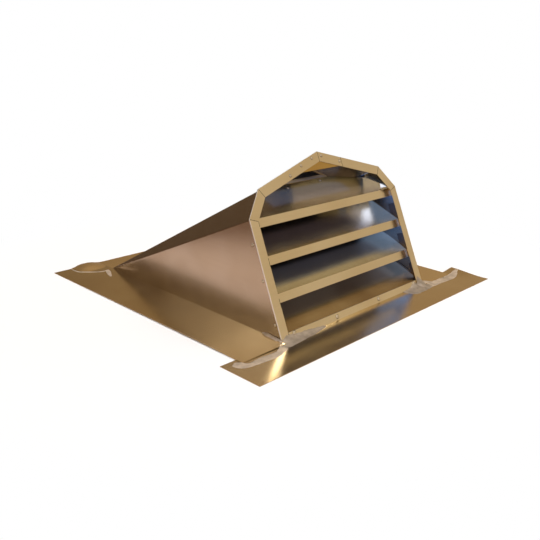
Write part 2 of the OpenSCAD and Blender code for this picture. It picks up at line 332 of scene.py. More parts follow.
def wiped_solder(name, rgb):
    """Solder wiped flat with a cloth and left dull: no mirror, a grainy skin and darker flux
    stains."""
    made, tree, place = material(name)
    # grains drawn 2.4 mm across so that they show, and stains 13 mm across
    skin = add(tree, "ShaderNodeTexNoise", {"Vector": place}, in_Scale=420.0, in_Detail=5.0,
               in_Roughness=0.6)
    stain = add(tree, "ShaderNodeTexNoise", {"Vector": place}, in_Scale=75.0, in_Detail=3.0)
    shade = add(tree, "ShaderNodeMapRange", {"Value": stain.outputs["Fac"]}, in_1=0.4, in_2=0.75)
    tone = add(tree, "ShaderNodeMix", {0: shade.outputs[0]}, data_type="RGBA",
               in_6=opaque(rgb), in_7=opaque(rgb, 0.62))
    lumps = add(tree, "ShaderNodeBump", {"Height": skin.outputs["Fac"]}, in_Strength=0.8,
                in_Distance=0.5 * MM)
    shader = add(tree, "ShaderNodeBsdfPrincipled", {"Base Color": tone.outputs[2],
                 "Normal": lumps.outputs[0]}, in_Metallic=0.55, in_Roughness=0.48)
    add(tree, "ShaderNodeOutputMaterial", {"Surface": shader.outputs[0]})
    return made


def spotted_metal(name, rgb, pattern, spot, rough):
    """A dull metal with fine spots: its pattern's scale, how the spots differ, and roughness."""
    made, tree, place = material(name)
    spots = add(tree, "ShaderNodeTexNoise", {"Vector": place}, **pattern)
    tone = add(tree, "ShaderNodeMix", {0: spots.outputs["Fac"]}, data_type="RGBA",
               in_6=opaque(rgb), in_7=opaque(rgb, spot))
    shader = add(tree, "ShaderNodeBsdfPrincipled", {"Base Color": tone.outputs[2]},
                 in_Metallic=1.0, in_Roughness=rough)
    add(tree, "ShaderNodeOutputMaterial", {"Surface": shader.outputs[0]})
    return made


def dull_wire(name, rgb):
    """Galvanised wire gone dark with age: rough, with paler spots of zinc 3 mm across."""
    return spotted_metal(name, rgb, {"in_Scale": 300.0, "in_Detail": 3.0}, 2.4, 0.5)


def tinned_rivet(name, rgb):
    """Tinned rivet head: paler and duller than the sheet, with greyer spots 2 mm across."""
    return spotted_metal(name, rgb, {"in_Scale": 600.0, "in_Detail": 2.0}, 0.8, 0.34)


def finish(name):
    """One of the vent's finishes, made when it is first asked for."""
    found = bpy.data.materials.get(name)
    if found and found.get("ready"):
        return found
    tones = bpy.context.scene.vent_colours
    across, back = 0, 1             # the axis that a sheet was rolled along
    sheets = {
        "bronze_toned_hood_sheet": (tones.hood, 0.22, back, {}),
        "bronze_toned_face_strip": (tones.strip, 0.285, across, {"wave": 0.3}),
        # painted highlight along the hem's fold
        "bright_worn_hem": (tones.hem, 0.33, across, {"wave": 0.2}),
        "bronze_toned_gusset": (tones.gusset, 0.29, across, {"wave": 0.3}),
        "bronze_toned_flashing": (tones.flashing, 0.215, back, {"smudge": 0.045}),
        "bright_rolled_apron": (tones.apron, 0.205, across, {}),
        "bright_rear_plate": (tones.plate, 0.215, across, {"smudge": 0.045}),
        "mill_finish_inside": (tones.inside, 0.2, across,
                               {"tint": (0.92, 0.92, 0.94), "wave": 0.6}),
        "mill_finish_blade": (tones.blade, 0.215, across,
                              {"tint": (0.92, 0.9, 0.86), "wave": 0.4}),
        "stained_sill_blade": (tones.stain, 0.215, across,
                               {"tint": (0.72, 0.66, 0.6), "wave": 0.6}),
        # painted shade under the blades
        "dulled_back": (tones.back, 0.3, across, {}),
    }
    others = {
        # dirt and painted shade in the gaps
        "settled_grime": (wiped_solder, tones.grime),
        "wiped_solder": (wiped_solder, tones.solder),
        # solder at 0.68 of its colour, used on the sill's seams
        "stained_solder": (wiped_solder, [c * 0.68 for c in tones.solder]),
        "tinned_rivet": (tinned_rivet, tones.rivet),
        "aged_screen_wire": (dull_wire, tones.screen),
    }
    if name in sheets:
        rgb, rough, along, changes = sheets[name]
        made = sheet_metal(name, rgb, rough, along, **changes)
    else:
        maker, rgb = others[name]
        made = maker(name, rgb)
    made["ready"] = True
    return made


# ---------------------------------------------------------------- pieces

class VENT_OT_stage(bpy.types.Operator):
    """Sets the floor, the soft studio light and the camera"""
    bl_idname = "vent.stage"
    bl_label = "Stage"

    # the room's pale and warm places, mixed in turn: towards, the degrees from there within which
    # it is full and at which it ends, and its colour
    PLACES = (((0, 0, 1), 25, 48, (1.2, 1.12, 1.05, 1)),                # overhead
              ((-0.56, 0.577, 0.595), 9, 15, (1.35, 1.4, 1.5, 1)),      # high, left rear
              ((0.71, 0.16, 0.69), 13, 20, (0.33, 0.225, 0.11, 1)),     # high on the right
              ((0.66, -0.13, 0.74), 3, 12, (1.7, 1.65, 1.35, 1)),       # in front of that
              ((-0.74, -0.62, 0.25), 8, 22, (1.8, 1.7, 1.75, 1)))       # low, left front

    def execute(self, context):
        scene = context.scene
        scene.view_settings.view_transform = "Standard"
        for build in (self.surroundings, self.overhead, self.window, self.fills, self.floor,
                      self.camera):
            build(scene)
        return {"FINISHED"}

    def surroundings(self, scene):
        """A soft room that the metal mirrors: brown behind the vent, paler to the front right,
        with a few pale places. The camera sees it white."""
        world = bpy.data.worlds.new("soft_studio")
        scene.world = world
        world.use_nodes = True
        tree = world.node_tree
        tree.nodes.clear()
        way = add(tree, "ShaderNodeTexCoord").outputs["Generated"]
        toward = add(tree, "ShaderNodeVectorMath", {0: way}, operation="DOT_PRODUCT",
                     in_1=(0.35, -0.94, 0.0))
        side = add(tree, "ShaderNodeMapRange", {"Value": toward.outputs["Value"]}, in_1=-1.0,
                   in_2=1.0)
        walls = add(tree, "ShaderNodeValToRGB", {"Fac": side.outputs[0]})
        stops = walls.color_ramp.elements
        stops[0].position, stops[0].color = 0.04, (0.104, 0.071, 0.046, 1)
        stops[1].position, stops[1].color = 0.95, (0.74, 0.66, 0.54, 1)
        for place, tone in ((0.3, (0.42, 0.3, 0.17, 1)), (0.45, (0.52, 0.38, 0.22, 1))):
            stops.new(place).color = tone
        room = walls.outputs[0]
        for aim, full, end, tone in self.PLACES:
            close = add(tree, "ShaderNodeVectorMath", {0: way}, operation="DOT_PRODUCT",
                        in_1=tuple(Vector(aim).normalized()))
            amount = add(tree, "ShaderNodeMapRange", {"Value": close.outputs["Value"]},
                         interpolation_type="SMOOTHSTEP", in_1=math.cos(math.radians(end)),
                         in_2=math.cos(math.radians(full)))
            room = add(tree, "ShaderNodeMix", {0: amount.outputs[0], 6: room},
                       data_type="RGBA", in_7=tone).outputs[2]
        seen = add(tree, "ShaderNodeLightPath")
        both = add(tree, "ShaderNodeMix", {0: seen.outputs["Is Camera Ray"], 6: room},
                   data_type="RGBA", in_7=(1, 1, 1, 1))
        backdrop = add(tree, "ShaderNodeBackground", {"Color": both.outputs[2]})
        add(tree, "ShaderNodeOutputWorld", {"Surface": backdrop.outputs[0]})

    def lamp(self, scene, name, energy, tone, **settings):
        """Adds an area lamp; one of radiance L and area A has an energy of pi L A."""
        data = bpy.data.lights.new(name, "AREA")
        data.energy, data.color = energy, tone
        for key, value in settings.items():
            setattr(data, key, value)
        lamp = bpy.data.objects.new(name, data)
        scene.collection.objects.link(lamp)
        return lamp

    def overhead(self, scene):
        """A wide soft light for the floor, which the metal doesn't mirror."""
        lamp = self.lamp(scene, "overhead_light", 40, (0.93, 0.96, 1.0), size=3.0)
        lamp.location = (0.3, -0.3, 2.6)
        lamp.visible_glossy = False

    def window(self, scene):
        """A small window that lights only the left jamb and the sill, whose gleam the apron
        mirrors as a bright streak."""
        width, radiance = 0.16, 34
        area = math.pi * (width / 2) ** 2
        lamp = self.lamp(scene, "window_gleam", math.pi * radiance * area, (0.69, 0.8, 1.0),
                         shape="DISK", size=width)
        lamp.location = (0.3, -0.37, 0.655)
        jamb_foot = Vector((-0.21, -0.268, 0.045))
        lamp.rotation_euler = (lamp.location - jamb_foot).to_track_quat("Z", "Y").to_euler()
        lamp.visible_camera = lamp.visible_diffuse = False
        lamp.light_linking.receiver_collection = bpy.data.collections.new(GLEAM)

    def fills(self, scene):
        """Faint cool light that enters the hood from below: small panels inside the vent's
        right end and peak, and one under each louvre."""
        eave, shoulder = (hood_corners()[k] * Vector((-1, 1, 1)) for k in ("eave", "shoulder"))
        slant = (shoulder - eave).normalized()
        near, far = (eave + slant * a + FACE_BACK * b for a, b in ((0.012, 0.033), (0.043, 0.03)))
        # name, place, the ways that its width and height run, both in metres, radiance, colour
        for name, place, u, v, wide, tall, radiance, tone in (
                ("wall_fill", on_face(218.5, 125, 38), FACE_UP, FACE_BACK, 0.2, 0.064, 0.5,
                 (0.28, 0.46, 1.0)),
                ("chamfer_glow", near, slant, FACE_BACK, 0.02, 0.036, 2.7, (0.4, 0.53, 1.0)),
                ("chamfer_fill", far, slant, FACE_BACK, 0.036, 0.05, 0.16, (0.2, 0.4, 1.0)),
                ("end_wash", on_face(150, 145, 43), FACE_BACK, FACE_UP, 0.055, 0.17, 0.6,
                 (0.18, 0.36, 1.0)),
                ("peak_fill", on_face(0, 280, 42), SLOPE_UP, RIGHT, 0.05, 0.24, 0.16,
                 (0.1, 0.3, 1.0)),
                ("blade_1_fill", on_face(0, 229, 32), SLOPE_UP, RIGHT, 0.06, 0.4, 0.05,
                 (0.84, 0.66, 1.0)),
                ("blade_2_fill", on_face(0, 153, 32), SLOPE_UP, RIGHT, 0.06, 0.4, 0.085,
                 (0.5, 0.54, 1.0)),
                ("blade_3_fill", on_face(0, 77, 36), SLOPE_UP, RIGHT, 0.052, 0.4, 0.13,
                 (0.72, 0.72, 1.0))):
            lamp = self.lamp(scene, name, math.pi * radiance * wide * tall, tone,
                             shape="RECTANGLE", size=wide, size_y=tall)
            ahead = u.cross(v).normalized()
            turn = Matrix((u, -v, -ahead)).transposed().to_4x4()
            turn.translation = place + ahead * (1.5 * MM)
            lamp.matrix_world = turn
            lamp.visible_camera = False

    def floor(self, scene):
        """A pale matt floor that fades into the white backdrop and keeps the vent's shadow."""
        bm = bmesh.new()
        bmesh.ops.create_circle(bm, cap_ends=True, segments=96, radius=9)
        mesh = bpy.data.meshes.new("floor")
        bm.to_mesh(mesh)
        bm.free()
        floor = bpy.data.objects.new("floor", mesh)
        scene.collection.objects.link(floor)
        made, tree, place = material("pale_matt_floor")
        reach = add(tree, "ShaderNodeVectorMath", {0: place}, operation="LENGTH")
        fade = add(tree, "ShaderNodeMapRange", {"Value": reach.outputs["Value"]}, in_1=0.35,
                   in_2=0.8, interpolation_type="SMOOTHSTEP")
        seen = add(tree, "ShaderNodeLightPath").outputs["Is Camera Ray"]
        # what the metal mirrors of the floor: pale near the vent and brown further out
        far = add(tree, "ShaderNodeMapRange", {"Value": reach.outputs["Value"]}, in_1=0.55,
                  in_2=0.82, interpolation_type="SMOOTHSTEP")
        room = add(tree, "ShaderNodeMix", {0: far.outputs[0]}, data_type="RGBA",
                   in_6=(0.66, 0.585, 0.6, 1), in_7=(0.17, 0.105, 0.08, 1))
        pale = add(tree, "ShaderNodeMix", {0: seen, 6: room.outputs[2]}, data_type="RGBA",
                   in_7=opaque(scene.vent_colours.floor))
        matt = add(tree, "ShaderNodeBsdfDiffuse", {"Color": pale.outputs[2]})
        faded = add(tree, "ShaderNodeMath", {0: fade.outputs[0], 1: seen}, operation="MULTIPLY")
        white = add(tree, "ShaderNodeEmission", in_Color=(1, 1, 1, 1))
        both = add(tree, "ShaderNodeMixShader", {0: faded.outputs[0], 1: matt.outputs[0],
                                                 2: white.outputs[0]})
        add(tree, "ShaderNodeOutputMaterial", {"Surface": both.outputs[0]})
        mesh.materials.append(made)

    def camera(self, scene):
        """Looks down at the vent from the front left."""
        data = bpy.data.cameras.new("camera")
        camera = bpy.data.objects.new("camera", data)
        scene.collection.objects.link(camera)
        forward, right = Vector((0.66496, 0.67736, -0.31467)), Vector((0.7136, -0.7006, 0))
        turn = Matrix((right, right.cross(forward), -forward)).transposed().to_4x4()
        turn.translation = (-0.991, -1.027, 0.494)
        camera.matrix_world = turn
        data.lens, data.sensor_width = 42.98, 36
        data.shift_x, data.shift_y = 0.0033, -0.0013
        data.clip_start, data.clip_end = 0.02, 50
        scene.camera = camera


def hood_corners():
    """The left half's corners on the outside of the sheet."""
    return {
        "toe": corner("left_wall", -0.2, -1, -0.2),
        "eave": corner("left_wall", -0.3, 0, 1),
        "shoulder": corner("left_chamfer", -0.1, 0, 1),
        "ridge": corner("left_roof_slope", 0, 0.2, 1),
        "rear": corner("left_wall", -0.3, 1, 0.3),
        "middle": corner("left_roof_slope", 0, 1, 0.2),
    }


def share(step, count, size, radius):
    """The place of one of count lines across a panel, with a line close to the fold at either
    end."""
    if step in (0, count):
        return step / count
    edge = min(radius / size, 0.3) if size > 1e-6 else 0.3
    return edge + (1 - 2 * edge) * (step - 1) / (count - 2)


class VENT_OT_hood(bpy.types.Operator):
    """Folds each half of the hood from one sheet, with a bend where the wall meets the flange"""
    bl_idname = "vent.hood"
    bl_label = "Hood sheets"

    COUNTS = (3, 12, 5, 8, 7)       # lines across foot bend, wall, chamfer, back panel and slope
    FRONT, ROWS = 10, 40            # lines in front of and behind the eave corner
    FLARED = 0.09                   # height over which a wall's foot spreads
    SLACK = 0.3                     # how much a fold is eased towards the sheet beside it

    def execute(self, context):
        sizes = context.scene.vent_sizes
        for side in ("left", "right"):
            bm = self.half(sizes)
            if side == "right":
                mirror_across(bm)
            parts = [f"{side}_{part}" for part in ("wall", "chamfer", "back_panel", "roof_slope")]
            add_piece(f"{side}_hood_sheet", bm, ("bronze_toned_hood_sheet", "mill_finish_inside"),
                      parts, sharp=75)
        return {"FINISHED"}

    def half(self, sizes):
        """The left half: a grid laid over its panels and given the sheet's thickness."""
        at = hood_corners()
        columns, foot = sum(self.COUNTS), sum(self.COUNTS[:2])
        bm = bmesh.new()
        bmesh.ops.create_grid(bm, x_segments=self.FRONT + self.ROWS, y_segments=columns, size=1)
        folds = {foot, foot + self.COUNTS[2], foot + sum(self.COUNTS[2:4])}
        spare = []
        for v in bm.verts:
            row = round((v.co.x + 1) / 2 * (self.FRONT + self.ROWS)) - self.FRONT
            column = round((v.co.y + 1) / 2 * columns)
            if column > foot and row < 0:
                spare.append(v)
            v.co = self.point(at, sizes, row, column)
            if column in folds and 0 <= row < self.ROWS:
                before, after = (self.point(at, sizes, row, column + k) for k in (-1, 1))
                v.co = v.co.lerp((before + after) / 2, self.SLACK)
        bmesh.ops.delete(bm, geom=spare, context="VERTS")
        bmesh.ops.remove_doubles(bm, verts=bm.verts[:], dist=2 * SAME_PLACE)
        bmesh.ops.dissolve_degenerate(bm, dist=SAME_PLACE, edges=bm.edges[:])
        face_out(bm, -RIGHT)
        bmesh.ops.solidify(bm, geom=bm.faces[:], thickness=sizes.sheet)
        keep_above_ground(bm)
        self.paint_inside(bm)
        return bm

    def paint_inside(self, bm):
        """Gives the faces that look into the hood the unfinished metal of the sheet's other side,
        but not the narrow ones along its edges."""
        heart = Vector((0, -0.05, 0.05))
        for f in bm.faces:
            inward = f.normal.dot(heart - f.calc_center_median()) > 0
            if inward and f.calc_area() > 2 * MM * MM:
                f.material_index = 1

    def flare(self, sizes, rise, high):
        """How far the wall spreads outwards near its foot, less where the wall is low."""
        return sizes.flare * max(0, 1 - rise / self.FLARED) ** 2 * min(1, high / self.FLARED)

    def point(self, at, sizes, row, column):
        """A point of the half sheet: rows run from the face to the rear, columns from the foot
        to the ridge."""
        cove, wall, chamfer, back, slope = self.COUNTS
        toe, eave, rear = at["toe"], at["eave"], at["rear"]
        t = row / self.ROWS
        top = toe.lerp(eave, 1 + row / self.FRONT) if row < 0 else eave.lerp(rear, t)
        if column <= cove + wall:
            along = (top.y - toe.y) / (rear.y - toe.y)
            high = max(top.z - toe.z, 0.0)
            foot = toe.lerp(rear, along)
            reach = min(sizes.foot_bend, high * 0.4) if row < self.ROWS else 0
            start = foot.lerp(top, reach / high) if high > 1e-6 else foot
            if column <= cove:
                turn = column / cove
                flat = foot - Vector((reach, 0, 0))
                place = flat.lerp(foot, turn).lerp(foot.lerp(start, turn), turn)
                place.x -= self.flare(sizes, place.z - foot.z, high)
                return place
            up = share(column - cove, wall, high, sizes.fold)
            place = start.lerp(top, up)
            bow = math.sin(math.pi * up) * math.sin(math.pi * min(1, max(0, along)))
            place.x -= sizes.buckle * bow * noise.noise(place * 6 + Vector((3.1, 0, 0)))
            place.x -= self.flare(sizes, place.z - foot.z, high)
            return place
        if row < 0:
            return top
        column -= cove + wall
        shoulder = at["shoulder"].lerp(rear, t)
        valley = at["shoulder"].lerp(at["middle"], t)
        ridge = at["ridge"].lerp(at["middle"], t)
        for count, start, end in ((chamfer, top, shoulder), (back, shoulder, valley),
                                  (slope, valley, ridge)):
            if column <= count:
                return start.lerp(end, share(column, count, (end - start).length, sizes.fold))
            column -= count
        return ridge


class VENT_OT_flanges(bpy.types.Operator):
    """Lays the side flanges and the rear plate, gently out of flat as thin sheet lies"""
    bl_idname = "vent.flanges"
    bl_label = "Flanges"

    # millimetres from a wall to its flange's bend at the front, and how much more at the rear
    BEND = (16, 22)
    CREST = -0.18                   # a flange bows up most here, behind its lap on the apron
    # the rear plate's dome, from the middle: it rises between the first two places, and falls
    # between the last two
    DOME = (0.212, 0.245, 0.262, 0.288)
    BULGE = (0.2153, 0.2865)        # the ends of the bulge in the rear plate's front edge

    def execute(self, context):
        sizes = context.scene.vent_sizes
        for side in ("left", "right"):
            self.flange(sizes, side)
        self.plate(sizes)
        return {"FINISHED"}

    def flange(self, sizes, side):
        """A side flange, raised along its wall and bowed up near its front."""
        name = f"{side}_flange"
        low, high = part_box(name)
        inner, outer = min(abs(low.x), abs(high.x)), max(abs(low.x), abs(high.x))
        bm = cad_mesh(name)
        slice_mesh(bm, RIGHT, low.x, high.x, 22)
        slice_mesh(bm, REAR, low.y, high.y, 40)
        for v in bm.verts:
            out, back = abs(v.co.x), v.co.y
            bend = inner + (self.BEND[0] + self.BEND[1] * smooth(back, low.y, high.y)) * MM
            near = 1 - smooth(back, high.y - 0.05, high.y)
            v.co.z += sizes.flange_rise * near * min(1, (outer - out) / (outer - bend))
            rise = smooth(back, low.y - 0.03, self.CREST)
            v.co.z += sizes.front_rise * rise * (1 - smooth(back, self.CREST, high.y))
            ripple = noise.noise(Vector((out, back * 7, 0.3 * (side == "left"))))
            v.co.z += 1.2 * MM * smooth(out, 0.25, outer) * max(0, ripple)
        add_piece(f"{side}_flange_sheet", bm, ["bronze_toned_flashing"], [name])

    def plate(self, sizes):
        """The rear plate, whose left end is domed and has a bulging front edge."""
        bm = cad_mesh("rear_flange")
        low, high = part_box("rear_flange")
        slice_mesh(bm, RIGHT, low.x, high.x, 64)
        slice_mesh(bm, REAR, low.y, high.y, 10)
        start, end = self.BULGE
        for v in bm.verts:
            reach = (-v.co.x - start) / (end - start)
            if 0 < reach < 1:
                front = 1 - smooth(v.co.y, 0.306, 0.35)
                v.co.y -= 14 * MM * math.sin(math.pi * reach ** 0.8) * front
            foot, full, falls, flat = self.DOME
            dome = smooth(-v.co.x, foot, full) * (1 - smooth(-v.co.x, falls, flat))
            v.co.z += sizes.plate_dome * dome * smooth(v.co.y, low.y + 0.008, low.y + 0.045)
        add_piece("rear_plate", bm, ["bright_rear_plate"], ["rear_flange"])


class VENT_OT_apron(bpy.types.Operator):
    """Lays the front apron, with its right rear corner bent up a little"""
    bl_idname = "vent.apron"
    bl_label = "Apron"

    FLAT_END = -0.2846              # it turns up behind the sill from here

    def execute(self, context):
        sizes = context.scene.vent_sizes
        low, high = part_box("apron")
        bm = cad_mesh("apron")
        slice_mesh(bm, RIGHT, low.x, high.x, 60)
        slice_mesh(bm, REAR, low.y, self.FLAT_END, 12)
        for v in bm.verts:
            corner_share = smooth(v.co.x, 0.31, 0.375) * smooth(v.co.y, -0.36, -0.277)
            v.co.z += sizes.corner_lift * corner_share
        add_piece("apron_sheet", bm, ["bright_rolled_apron"], ["apron"])
        return {"FINISHED"}


class VENT_OT_face(bpy.types.Operator):
    """Cuts the strips round the louvres, with rounded hems, broken edges and open mitres"""
    bl_idname = "vent.face"
    bl_label = "Face strips"

    # both ends of each joint: millimetres across and up the face
    JOINTS = ((-224, 230.8, -204.7, 223.9), (-183.7, 281.6, -172.4, 264.7),
              (0, 334.6, 0, 314.3), (66, 315.6, 66, 295.3), (183.7, 281.6, 172.4, 264.7),
              (224, 230.8, 204.7, 223.9), (-204.9, 214, -204.7, 223),
              (-206.3, 137.5, -206, 154.5), (-207.6, 61.5, -207.3, 78.5), (-208.4, 1, -208.2, 14))

    def execute(self, context):
        sizes = context.scene.vent_sizes
        front = face_front()
        border = [f"{side}_{part}" for side in ("left", "right")
                  for part in ("jamb", "shoulder", "rafter")]
        for name in border + ["peak_strip", "peak_gusset", "sill"]:
            bm = self.strip(sizes, name, front)
            # the gusset's darker finish is painted shade
            metal = "bronze_toned_gusset" if name == "peak_gusset" else "bronze_toned_face_strip"
            piece = add_piece(f"{name}_trim", bm, (metal, "bright_worn_hem", "settled_grime"),
                              [name], smooth_faces=False)
            if name in ("left_jamb", "sill"):
                bpy.data.collections[GLEAM].objects.link(piece)
        self.joint_lines(sizes, front)
        return {"FINISHED"}

    def strip(self, sizes, name, front):
        """One strip: a hem along its outer edge with a painted highlight on it, broken edges
        behind, and dark grime with painted shade in its mitres and along its inner edge."""
        bm = cad_mesh(name)
        run = max(bm.edges, key=lambda e: e.calc_length())
        longest = run.calc_length()
        run = (run.verts[1].co - run.verts[0].co).normalized()
        centre = sum((v.co for v in bm.verts), Vector()) / len(bm.verts)
        outward = centre - on_face(0, 130)
        hemmed = name not in ("peak_gusset", "sill")
        hem, other = [], []
        for e in self.sharp_edges(bm):
            mid = (e.verts[0].co + e.verts[1].co) / 2
            if not self.shown(e, front):
                other.append(e)
            elif hemmed and e.calc_length() > 0.5 * longest and (mid - centre).dot(outward) > 0:
                hem.append(e)
        round_edges(bm, hem, sizes.hem, 3)
        round_edges(bm, other, sizes.edge, 1)
        # faces on the hem's outer fold get the pale hem finish: a painted highlight
        for f in bm.faces:
            away = (f.calc_center_median() - centre).dot(outward) > 0
            turned = f.normal.dot(front) < 0.95 and f.normal.dot(outward) > 0
            f.material_index = int(hemmed and away and turned)
        # a bevel makes new edges, so they are looked for again after each
        cut = [e for e in self.sharp_edges(bm) if self.shown(e, front)]
        ends = [e for e in cut
                if abs((e.verts[1].co - e.verts[0].co).normalized().dot(run)) < 0.9]
        # the mitre bevels and the inner edge bevels below get the dark finish: dirt and painted
        # shade in the gaps
        for f in round_edges(bm, ends, sizes.mitre, 1):
            f.material_index = 2
        inner = [e for e in self.sharp_edges(bm) if self.shown(e, front)]
        for f in round_edges(bm, inner, sizes.mitre * 0.6, 1):
            f.material_index = 2
        return bm

    def joint_lines(self, sizes, front):
        """Thin ragged dark lines lying in the joints, as one piece: dirt and painted shade."""
        bm = bmesh.new()
        for k, (x0, up0, x1, up1) in enumerate(self.JOINTS):
            start, end = on_face(x0, up0), on_face(x1, up1)
            side = front.cross(end - start).normalized()
            line = bmesh.ops.create_grid(bm, x_segments=16, y_segments=2, size=1)["verts"]
            for v in line:
                along = (v.co.x + 1) / 2
                ragged = 0.75 + 0.5 * noise.noise(Vector((along * 5, v.co.y, k)))
                aside = side * (sizes.joint / 2 * ragged * v.co.y)
                v.co = start.lerp(end, along) + aside + front * (0.08 * MM * (1 - abs(v.co.y)))
        bmesh.ops.recalc_face_normals(bm, faces=bm.faces[:])
        turned = [f for f in bm.faces if f.normal.dot(front) < 0]
        bmesh.ops.reverse_faces(bm, faces=turned)
        bmesh.ops.solidify(bm, geom=bm.faces[:], thickness=0.1 * MM)
        add_piece("joint_lines", bm, ["settled_grime"])

    def sharp_edges(self, bm):
        """The edges of the cut strip, apart from those that stand on the flashing."""
        return [e for e in bm.edges if len(e.link_faces) == 2 and e.calc_length() > 2 * MM
                and e.calc_face_angle(0) > math.radians(50)
                and max(v.co.z for v in e.verts) > 1.2 * MM]

    def shown(self, edge, front):
        """Whether an edge bounds the strip's front."""
        return any(f.normal.dot(front) > 0.9 for f in edge.link_faces)


class VENT_OT_blades(bpy.types.Operator):
    """Folds the louvre blades and the sill blade, with slopes a little out of flat"""
    bl_idname = "vent.blades"
    bl_label = "Blades"

    # how far each blade's slope bows upwards, in millimetres
    BOWS = {"louvre_1": 1.8, "louvre_2": 0.3, "louvre_3": 2.4, "sill_blade": 1.5}

    def execute(self, context):
        sizes = context.scene.vent_sizes
        front = face_front()
        for name, height in self.BOWS.items():
            bm = cad_mesh(name)
            folds = [e for e in bm.edges if e.calc_length() > 300 * MM and len(e.link_faces) == 2
                     and math.radians(20) < e.calc_face_angle(0) < math.radians(120)]
            round_edges(bm, folds, sizes.fold * 0.35, 2)
            self.bow(bm, height * MM)
            for f in bm.faces:
                lip = f.normal.dot(front) > 0.85
                # faces turned down get the darker back finish: painted shade under the blades
                f.material_index = 0 if lip else 1 if f.normal.z > 0.1 else 2
            top = "stained_sill_blade" if name == "sill_blade" else "mill_finish_blade"
            add_piece(f"{name}_sheet", bm, ("bronze_toned_face_strip", top, "dulled_back"),
                      [name], sharp=18)
        return {"FINISHED"}

    def bow(self, bm, height):
        """Curves a blade's slope upwards between its front fold and its rear edge."""
        foot = on_face(0, 0)
        depths = [(v.co - foot).dot(FACE_BACK) for v in bm.verts]
        front, rear = min(depths) + 1.5 * MM, max(depths) - 1.5 * MM
        slice_mesh(bm, FACE_BACK, front, rear, 18, origin=foot)
        for v in bm.verts:
            along = ((v.co - foot).dot(FACE_BACK) - front) / (rear - front)
            if 0 < along < 1:
                v.co += SLOPE_OUT * (height * 4 * along * (1 - along))


class VENT_OT_screen(bpy.types.Operator):
    """Lays the insect screen behind the blades: two layers of straight wire, welded together"""
    bl_idname = "vent.screen"
    bl_label = "Insect screen"

    def execute(self, context):
        sizes = context.scene.vent_sizes
        plate = cad_mesh("insect_screen")
        front = max(plate.faces, key=lambda f: f.calc_area())
        normal, outline = front.normal.copy(), [v.co.copy() for v in front.verts]
        plate.free()
        up = normal.cross(RIGHT).normalized()
        bm = bmesh.new()
        for way, depth in ((up, 0.3), (RIGHT, -0.3)):       # depth in wire thicknesses
            places = [p.dot(way) for p in outline]
            count = int((max(places) - min(places)) / sizes.screen_pitch)
            for i in range(1, count):
                place = min(places) + i * sizes.screen_pitch
                ends = []
                for a, b in zip(outline, outline[1:] + outline[:1]):
                    da, db = a.dot(way) - place, b.dot(way) - place
                    if da * db < 0:
                        ends.append(a.lerp(b, da / (da - db)))
                if len(ends) == 2:
                    sink = normal * (-0.5 + depth) * sizes.screen_wire
                    self.wire(bm, ends[0] + sink, ends[1] + sink, sizes.screen_wire / 2)
        add_piece("screen_mesh", bm, ["aged_screen_wire"], ["insect_screen"])
        return {"FINISHED"}

    def wire(self, bm, start, end, radius):
        """One straight wire."""
        way = end - start
        turn = way.to_track_quat("Z", "Y").to_matrix().to_4x4()
        turn.translation = (start + end) / 2
        bmesh.ops.create_cone(bm, cap_ends=True, segments=6, radius1=radius, radius2=radius,
                              depth=way.length, matrix=turn)


